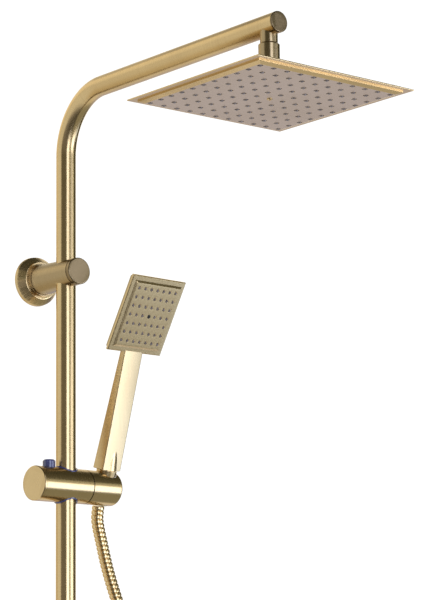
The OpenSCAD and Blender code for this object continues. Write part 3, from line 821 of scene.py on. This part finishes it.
def make_handle():
    """The flat tapering handle, with a crowned front and a rounded foot ridge."""
    tail_end, tail_r = 14, 9.5
    across, stations = 64, 72

    def half_thickness(s):
        return 8.0 - (s - HANDLE_START) * 4.2 / (HANDLE_END - HANDLE_START)

    def outside(x, s, crown):
        """How far a face stands out at x, with the foot's ridge blended into it."""
        edge = max(0.0, abs(x) - (HANDLE_W / 2 - HANDLE_EDGE)) / HANDLE_EDGE
        flat = half_thickness(s) - crown * (x / (HANDLE_W / 2)) ** 2
        flat -= 1.1 * (1 - math.sqrt(max(0.0, 1 - edge * edge)))
        ridge_r = 10.6 - 3.8 * (s - HANDLE_START) / 26
        if abs(x) < ridge_r:
            return max(flat, math.sqrt(ridge_r ** 2 - x * x))
        return flat

    places = [-math.cos(math.pi * k / across) * 0.25 + (2 * k / across - 1) * 0.75
              for k in range(across + 1)]
    xs = [p * HANDLE_W / 2 for p in places]
    rings = []
    for i in range(stations + 1):
        t = i / stations
        s = HANDLE_START + (HANDLE_END - HANDLE_START) * (0.35 * t + 0.65 * t * t)
        rings.append([(x, -outside(x, s, FRONT_CROWN), s) for x in xs]
                     + [(x, outside(x, s, 0), s) for x in reversed(xs)])
    foot = [(x * 0.985, y * 0.975, HANDLE_START) for x, y, _ in rings[0]]
    rings[0] = [(x, y, HANDLE_START + 0.35) for x, y, _ in rings[0]]
    rings.insert(0, foot)
    corners, faces = loft(rings)
    bar = mesh_of("bar", [HANDSET @ mm(*c) for c in corners], faces)
    tail = turned("tail", HANDSET, rounded([
        (6, tail_end), (tail_r, tail_end), (tail_r, HANDLE_START + 1),
        (6, HANDLE_START + 1)], 0.4, 3), 64)
    piece = joined("handset_handle_fine", [bar, tail])
    brush_flat(piece, HANDSET, across=(1, 0, 0), along=(0, 0, 1))
    return finish_piece(soften(piece, 35), "handset_handle")


# ---------------------------------------------------------------- the pieces

ROUND_PIECES = {
    "arm_end_cap": (ARM_END, 0.3), "outlet_stub": (HEAD, 0.25),
    "ball_joint_collar": (HEAD, 0.3), "head_swivel_nut": (HEAD, 0.3),
    "head_inlet_boss": (HEAD, 0.2),
    "upper_wall_flange": (UPPER_BRACKET, 0.35), "upper_wall_plate": (UPPER_BRACKET, 0.3),
    "upper_bracket_post": (UPPER_BRACKET, 0.25), "upper_bracket_cap": (UPPER_BRACKET, 0.35),
    "lower_wall_flange": (OUT_OF_WALL, 0.35), "inlet_tail": (OUT_OF_WALL, 0.3),
    "diverter_body": (OUT_OF_WALL, 0.5), "riser_nut": (RISER, 0.4),
    "diverter_gland_nut": (OUT_OF_WALL, 0.3), "hose_outlet": (RISER, 0.3),
    "diverter_knob": (OUT_OF_WALL, 0.5),
    "slider_body": (SLIDER @ ALONG_X, 0.25),
    "slider_end_cap": (SLIDER @ ALONG_X, 0.3), "swivel_washer": (SLIDER @ ALONG_X, 0.15),
    "handset_holder": (SLIDER @ ALONG_X, 0.3), "hose_cone_nut": (BORE, 0.3),
    "hose_ferrule_upper": (BORE, 0.3), "hose_union_nut": (RISER, 0.4),
    "hose_ferrule_lower": (RISER, 0.3), "holder_liner": (BORE, 0.12),
}


def make_round_pieces():
    """The turned pieces, each with its brush lines round its own axis."""
    made = {}
    for node, (frame_matrix, width) in ROUND_PIECES.items():
        piece = soften(refined(node, width))
        made[node] = finish_piece(brush_round(piece, frame_matrix), node)
    return made


def make_bush():
    """The bush in the slider, and its rims that follow the slider's round surface."""
    tube = [(BUSH_R, -8), (BUSH_R, 8), (TUBE_R + 0.1, 8), (TUBE_R + 0.1, -8)]
    at_bush = RISER @ shift(0, 0, SLIDER_HEIGHT)
    bush = turned("slider_bush_fine", at_bush, rounded(tube, 0.4), 64)
    finish_piece(soften(bush), "slider_bush")
    profile = [
        (TUBE_R + 0.15, 0, 8), (BUSH_R, 0, 8), (BUSH_R, 1, 0.6), (BUSH_R - 0.1, 1, 1.1),
        (BUSH_R - 0.4, 1, 1.4), (TUBE_R + 0.7, 1, 1.4), (TUBE_R + 0.3, 1, 1.1),
        (TUBE_R + 0.15, 1, 0.6),
    ]
    for name, side in (("bush_rim_top", 1), ("bush_rim_bottom", -1)):
        rings = []
        for radius, on_surface, rise in profile:
            ring = []
            for x, y, _ in circle(radius, 0, 96):
                edge_y = y * BUSH_R / radius
                surface = math.sqrt(SLIDER_R ** 2 - edge_y ** 2) * on_surface
                ring.append((x, y, side * (surface + rise)))
            rings.append(ring)
        corners, faces = loft(rings, looped=True)
        rim = mesh_of(name, [SLIDER @ mm(*c) for c in corners], faces)
        rim.data.materials.append(BLUE)
        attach(soften(rim), "slider")


FLAT_PIECES = {
    "head_back_plate": (HEAD, 0.35), "head_frame": (HEAD, 0.25),
    "handset_back_shell": (HAND_FACE, 0.5), "handset_frame": (HAND_FACE, 0.3),
}


def make_flat_pieces():
    """The square pieces, brushed straight."""
    for node, (frame_matrix, width) in FLAT_PIECES.items():
        piece = soften(refined(node, width))
        finish_piece(brush_flat(piece, frame_matrix), node)


def make_head_plates():
    """The two spray faces with their nozzles and the holes for their middle screws."""
    plate = spray_plate(
        "head_face_plate_fine", HEAD, HEAD_NOZZLES, HEAD_PITCH, 2.8, 1.5,
        [(88.9, 0.0), (89.2, 0.07), (94.2, 1.72), (94.3, 1.86),
         (94.3, 3.2), (88.3, 3.2), (88.3, 1.2)])
    finish_piece(brush_flat(soften(plate, 30), HEAD), "head_face_plate")
    plate.data.materials.append(GOLD)
    back = HEAD.inverted()
    for face in plate.data.polygons:
        middle = back @ face.center
        face.material_index = max(abs(middle.x), abs(middle.y)) > HEAD_FACE_EDGE * MM
    field = nozzle_field(
        "head_nozzle_mat_fine", HEAD, 88.2, (1.2, 2.4), HEAD_NOZZLES, HEAD_PITCH,
        2.0, 1.5, 0.75)
    finish_piece(soften(field, 50), "head_nozzle_mat")
    plate = spray_plate(
        "handset_face_plate_fine", HAND_FACE, HAND_NOZZLES, HAND_PITCH, 2.1, 1.2,
        [(36.3, 0.0), (36.5, 0.07), (38.5, 1.9), (38.6, 2.0), (33.4, 2.0), (33.4, 1.0)])
    finish_piece(brush_flat(soften(plate, 30), HAND_FACE), "handset_face_plate")
    field = nozzle_field(
        "handset_nozzle_mat_fine", HAND_FACE, 33.3, (1.0, 2.2), HAND_NOZZLES, HAND_PITCH,
        1.5, 1.15, 0.6)
    finish_piece(soften(field, 50), "handset_nozzle_mat")


def make_spring():
    """The button's coil spring."""
    coil_r, wire_r, turns, steps, sides = 5.0, 0.6, 5, 20, 12
    low, high = -13.0, -1.0
    rings = []
    for k in range(turns * steps + 1):
        t = k / (turns * steps)
        a = 2 * math.pi * turns * t
        rings.append([
            ((coil_r + wire_r * math.cos(b)) * math.cos(a),
             (coil_r + wire_r * math.cos(b)) * math.sin(a),
             low + (high - low) * t + wire_r * math.sin(b))
            for b in (2 * math.pi * j / sides for j in range(sides))
        ])
    corners, faces = loft(rings)
    spring = mesh_of("button_spring_fine", [BUTTON @ mm(*c) for c in corners], faces)
    spring.data.materials.append(STEEL)
    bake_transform(soften(spring))
    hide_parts("button_spring")


def make_small_pieces():
    """Screws, the lever and the button."""
    for node, frame_matrix, width in (
        ("head_centre_screw", HEAD, 0.12), ("handset_centre_screw", HAND_FACE, 0.1),
        ("release_button", BUTTON, 0.5),
        ("knob_lever", shift(0, -110.6, 10), 0.3),
    ):
        finish_piece(brush_round(soften(refined(node, width, 3)), frame_matrix), node)


make_riser()
ROUND_MADE = make_round_pieces()
make_bush()
make_flat_pieces()
make_head_plates()
make_handle()
make_small_pieces()
make_spring()
for piece in bpy.data.objects:
    if piece.name.startswith("handset_") and piece.name.endswith("_fine"):
        piece.visible_glossy = piece.name == "handset_holder_fine"
for node, part in frame["nodes"].items():
    if not part.hide_render:
        part.data.materials.clear()
        part.data.materials.append(MATERIAL_OF_SLOT[SLOT_OF_NODE[node]])
declare_hose(
    [ROUND_MADE["hose_cone_nut"], ROUND_MADE["hose_ferrule_upper"], "hose_washer_upper"],
    [ROUND_MADE["hose_union_nut"], ROUND_MADE["hose_ferrule_lower"], "hose_washer_lower"])


# ---------------------------------------------------------------- studio

def make_floor():
    """A plain pale floor under the lowest point."""
    lowest = cad_box[0].z
    form = bmesh.new()
    bmesh.ops.create_grid(form, x_segments=1, y_segments=1, size=8)
    mesh = bpy.data.meshes.new("floor")
    form.to_mesh(mesh)
    form.free()
    floor = new_object("floor", mesh)
    floor.location.z = lowest - 0.02
    s = Shader("pale_floor")
    s.value("Base Color", (0.82, 0.81, 0.79, 1))
    s.value("Roughness", 0.7)
    mesh.materials.append(s.material)
    floor.visible_glossy = False


# The studio as the object sees it. Azimuth is in degrees from the direction of
# the camera, positive to the right; elevation is in degrees. Each patch is
# painted over the ones before it: tone, azimuths, elevations, softness. An edge
# past the back or past a pole is no edge.
BACK = 181
POLE = 91
ALL_ROUND = (-BACK, BACK)
STUDIO_BASE = (1.20, 1.12, 0.90)
STUDIO = [
    ((0.62, 0.60, 0.71), ALL_ROUND, (-POLE, -3), 10),
    ((0.95, 0.93, 0.85), ALL_ROUND, (-POLE, -28), 8),
    ((0.74, 0.66, 0.48), (-152, -98), (-60, 14), 12),
    ((0.92, 0.95, 0.94), (-104, -54), (-POLE, POLE), 8),
    ((0.11, 0.11, 0.07), (-54, 48), (6, POLE), 8),
    ((0.25, 0.25, 0.27), (-54, 48), (-POLE, 6), 8),
    ((0.10, 0.10, 0.09), (-30, 48), (-POLE, -19), 6),
    ((0.10, 0.10, 0.07), (44, 158), (-POLE, POLE), 14),
    ((0.34, 0.35, 0.30), (44, 158), (-POLE, -24), 6),
    ((0.74, 0.82, 0.95), (43, 62), (-20, 8), 7),
    ((0.50, 0.52, 0.42), (43, 62), (8, 50), 7),
    ((2.00, 2.20, 2.80), (14, 41), (3, 50), 6),
    ((3.20, 3.60, 4.60), (14, 41), (-18, 7), 6),
    ((1.20, 1.25, 1.20), (62, 88), (4, 10), 6),
    ((3.60, 4.00, 5.20), (62, 94), (-22, 6), 6),
    ((1.75, 2.15, 3.10), (90, 122), (-21, -9), 6),
    ((1.40, 1.50, 1.40), (90, 102), (4, 20), 8),
    ((0.07, 0.07, 0.05), ALL_ROUND, (42, POLE), 12),
]


def make_world():
    """White to the camera; to the object, the studio's soft boxes and dark gaps."""
    world = bpy.data.worlds.new("studio")
    world.use_nodes = True
    bpy.context.scene.world = world
    tree = world.node_tree
    tree.nodes.clear()

    def add(kind, **settings):
        node = tree.nodes.new(kind)
        for key, value in settings.items():
            setattr(node, key, value)
        return node

    def math_node(operation, first, second=None):
        node = add("ShaderNodeMath", operation=operation)
        for socket, given in ((0, first), (1, second)):
            if isinstance(given, (int, float)):
                node.inputs[socket].default_value = given
            elif given is not None:
                tree.links.new(given, node.inputs[socket])
        return node.outputs[0]

    def step(source, middle, width, rising):
        node = add("ShaderNodeMapRange", interpolation_type="SMOOTHSTEP")
        node.inputs["From Min"].default_value = middle - width / 2
        node.inputs["From Max"].default_value = middle + width / 2
        node.inputs["To Min"].default_value = 0.0 if rising else 1.0
        node.inputs["To Max"].default_value = 1.0 if rising else 0.0
        tree.links.new(source, node.inputs["Value"])
        return node.outputs["Result"]

    direction = add("ShaderNodeTexCoord").outputs["Generated"]
    facing = add("ShaderNodeMapping", vector_type="POINT")
    facing.inputs["Rotation"].default_value = (0, 0, math.radians(CAMERA_TURN))
    tree.links.new(direction, facing.inputs["Vector"])
    parts = add("ShaderNodeSeparateXYZ")
    tree.links.new(facing.outputs["Vector"], parts.inputs["Vector"])
    towards = math_node("MULTIPLY", parts.outputs["Y"], -1.0)
    azimuth = math_node("DEGREES", math_node("ARCTAN2", parts.outputs["X"], towards))
    elevation = math_node("DEGREES", math_node("ARCSINE", parts.outputs["Z"]))

    painted = STUDIO_BASE
    for tone, azimuths, elevations, soft in STUDIO:
        window = None
        for source, (start, end) in ((azimuth, azimuths), (elevation, elevations)):
            for middle, rising in ((start, True), (end, False)):
                if abs(middle) in (POLE, BACK):
                    continue
                edge = step(source, middle, soft, rising)
                window = edge if window is None else math_node("MULTIPLY", window, edge)
        layer = add("ShaderNodeMix", data_type="RGBA")
        tree.links.new(window, layer.inputs[0])
        if isinstance(painted, tuple):
            layer.inputs[6].default_value = (*painted, 1)
        else:
            tree.links.new(painted, layer.inputs[6])
        layer.inputs[7].default_value = (*tone, 1)
        painted = layer.outputs[2]

    studio = add("ShaderNodeBackground")
    tree.links.new(painted, studio.inputs["Color"])
    white = add("ShaderNodeBackground")
    white.inputs["Color"].default_value = (1, 1, 1, 1)
    white.inputs["Strength"].default_value = 1.1
    rays = add("ShaderNodeLightPath")
    shown = add("ShaderNodeMixShader")
    tree.links.new(rays.outputs["Is Camera Ray"], shown.inputs["Fac"])
    tree.links.new(studio.outputs["Background"], shown.inputs[1])
    tree.links.new(white.outputs["Background"], shown.inputs[2])
    output = add("ShaderNodeOutputWorld")
    tree.links.new(shown.outputs["Shader"], output.inputs["Surface"])


def make_overhead_light():
    """Soft light from above for the floor and the plastics; the metal doesn't mirror it."""
    data = bpy.data.lights.new("overhead_light", "SUN")
    data.energy = 1.9
    data.angle = math.radians(70)
    light = bpy.data.objects.new("overhead_light", data)
    light.rotation_euler = (math.radians(20), 0, math.radians(-20))
    light.visible_glossy = False
    bpy.context.scene.collection.objects.link(light)


make_floor()
make_world()
make_overhead_light()
bpy.context.scene.view_settings.view_transform = "Standard"
